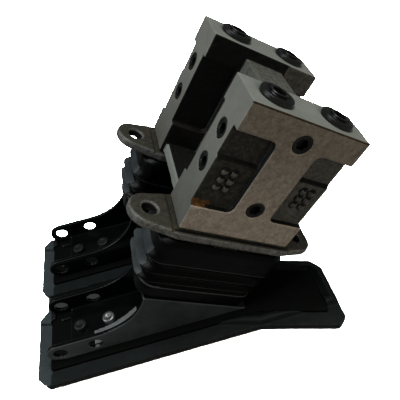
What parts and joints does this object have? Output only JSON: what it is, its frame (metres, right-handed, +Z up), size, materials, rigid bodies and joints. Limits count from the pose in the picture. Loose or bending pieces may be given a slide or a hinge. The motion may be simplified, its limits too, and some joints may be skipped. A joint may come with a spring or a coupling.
{
  "type": "dual pedal pilot valve",
  "caption": "Hydraulic foot-pedal pilot valve lying upside down: a ported cast iron body, rubber boots and two dog-leg pedals with rubber treads.",
  "frame": {"origin": "on the floor, under the middle of the bounding box", "axes": "+X along the pedals from toe end to heel end, +Y from the near pedal to the far pedal, +Z up from the floor the treads lie on"},
  "size_m": [0.3338, 0.2126, 0.2482],
  "materials": {
    "cast_iron": "rough cast with machined faces",
    "forged_steel": "phosphated",
    "ground_steel": "ground",
    "spring_steel": "oiled",
    "bronze": "turned",
    "black_oxide": "black oxide, semi-gloss",
    "black_paint": "gloss black",
    "boot_rubber": "satin moulded rubber",
    "pad_rubber": "matte moulded rubber"
  },
  "bodies": {
    "valve_body": {"valve_casting": "cast_iron", "near_flange_plate": "cast_iron", "near_pivot_pin": "ground_steel", "near_boot": "boot_rubber", "near_face_plug_upper": "black_oxide", "near_side_plug_upper": "black_oxide", "near_face_plug_lower": "black_oxide", "near_side_plug_lower": "black_oxide", "near_port_plug_toe": "black_oxide", "near_flange_screw_toe": "black_oxide", "near_return_spring_toe": "spring_steel", "near_rod_guide_toe": "bronze", "near_port_plug_heel": "black_oxide", "near_flange_screw_heel": "black_oxide", "near_return_spring_heel": "spring_steel", "near_rod_guide_heel": "bronze", "far_flange_plate": "cast_iron", "far_pivot_pin": "ground_steel", "far_boot": "boot_rubber", "far_face_plug_upper": "black_oxide", "far_side_plug_upper": "black_oxide", "far_face_plug_lower": "black_oxide", "far_side_plug_lower": "black_oxide", "far_port_plug_toe": "black_oxide", "far_flange_screw_toe": "black_oxide", "far_return_spring_toe": "spring_steel", "far_rod_guide_toe": "bronze", "far_port_plug_heel": "black_oxide", "far_flange_screw_heel": "black_oxide", "far_return_spring_heel": "spring_steel", "far_rod_guide_heel": "bronze"},
    "near_pedal": {"near_rocker": "forged_steel", "near_rocker_bush": "bronze", "near_pad": "pad_rubber", "near_tread_plate": "black_paint", "near_bracket": "black_paint", "near_base_bolt_toe": "black_oxide", "near_rocker_bolt_toe": "black_oxide", "near_base_bolt_heel": "black_oxide", "near_rocker_bolt_heel": "black_oxide"},
    "near_toe_rod": {"near_pushrod_toe": "ground_steel"},
    "near_toe_valve_spool": {"near_spool_toe": "ground_steel"},
    "near_heel_rod": {"near_pushrod_heel": "ground_steel"},
    "near_heel_valve_spool": {"near_spool_heel": "ground_steel"},
    "far_pedal": {"far_rocker": "forged_steel", "far_rocker_bush": "bronze", "far_pad": "pad_rubber", "far_tread_plate": "black_paint", "far_bracket": "black_paint", "far_base_bolt_toe": "black_oxide", "far_rocker_bolt_toe": "black_oxide", "far_base_bolt_heel": "black_oxide", "far_rocker_bolt_heel": "black_oxide"},
    "far_toe_rod": {"far_pushrod_toe": "ground_steel"},
    "far_toe_valve_spool": {"far_spool_toe": "ground_steel"},
    "far_heel_rod": {"far_pushrod_heel": "ground_steel"},
    "far_heel_valve_spool": {"far_spool_heel": "ground_steel"}
  },
  "joints": [
    {"name": "near_pedal_pivot", "type": "hinge", "parent": "valve_body", "child": "near_pedal", "pos_m": [0.03412, -0.03273, 0.09379], "axis": [0, 1, 0], "range_deg": [-12.4, 12.4], "stiffness_Nm_per_rad": 40, "deforming": ["near_boot"]},
    {"name": "near_toe_rod_slide", "type": "slide", "parent": "valve_body", "child": "near_toe_rod", "axis": [0.585, 0, 0.8111], "range_m": [-0.0064, 0.0064], "deforming": ["near_return_spring_toe"]},
    {"name": "near_toe_spool_slide", "type": "slide", "parent": "valve_body", "child": "near_toe_valve_spool", "axis": [0.585, 0, 0.8111], "range_m": [-0.0012, 0.0012]},
    {"name": "near_heel_rod_slide", "type": "slide", "parent": "valve_body", "child": "near_heel_rod", "axis": [0.585, 0, 0.8111], "range_m": [-0.0064, 0.0064], "deforming": ["near_return_spring_heel"]},
    {"name": "near_heel_spool_slide", "type": "slide", "parent": "valve_body", "child": "near_heel_valve_spool", "axis": [0.585, 0, 0.8111], "range_m": [-0.0012, 0.0012]},
    {"name": "far_pedal_pivot", "type": "hinge", "parent": "valve_body", "child": "far_pedal", "pos_m": [0.03412, 0.07327, 0.09379], "axis": [0, 1, 0], "range_deg": [-12.4, 12.4], "stiffness_Nm_per_rad": 40, "deforming": ["far_boot"]},
    {"name": "far_toe_rod_slide", "type": "slide", "parent": "valve_body", "child": "far_toe_rod", "axis": [0.585, 0, 0.8111], "range_m": [-0.0064, 0.0064], "deforming": ["far_return_spring_toe"]},
    {"name": "far_toe_spool_slide", "type": "slide", "parent": "valve_body", "child": "far_toe_valve_spool", "axis": [0.585, 0, 0.8111], "range_m": [-0.0012, 0.0012]},
    {"name": "far_heel_rod_slide", "type": "slide", "parent": "valve_body", "child": "far_heel_rod", "axis": [0.585, 0, 0.8111], "range_m": [-0.0064, 0.0064], "deforming": ["far_return_spring_heel"]},
    {"name": "far_heel_spool_slide", "type": "slide", "parent": "valve_body", "child": "far_heel_valve_spool", "axis": [0.585, 0, 0.8111], "range_m": [-0.0012, 0.0012]}
  ],
  "couplings": [
    {"joint": "near_toe_rod_slide", "follows": "near_pedal_pivot", "m_per_rad": 0.029},
    {"joint": "near_toe_spool_slide", "follows": "near_pedal_pivot", "m_per_rad": 0.005},
    {"joint": "near_heel_rod_slide", "follows": "near_pedal_pivot", "m_per_rad": -0.029},
    {"joint": "near_heel_spool_slide", "follows": "near_pedal_pivot", "m_per_rad": -0.005},
    {"joint": "far_toe_rod_slide", "follows": "far_pedal_pivot", "m_per_rad": 0.029},
    {"joint": "far_toe_spool_slide", "follows": "far_pedal_pivot", "m_per_rad": 0.005},
    {"joint": "far_heel_rod_slide", "follows": "far_pedal_pivot", "m_per_rad": -0.029},
    {"joint": "far_heel_spool_slide", "follows": "far_pedal_pivot", "m_per_rad": -0.005}
  ]
}
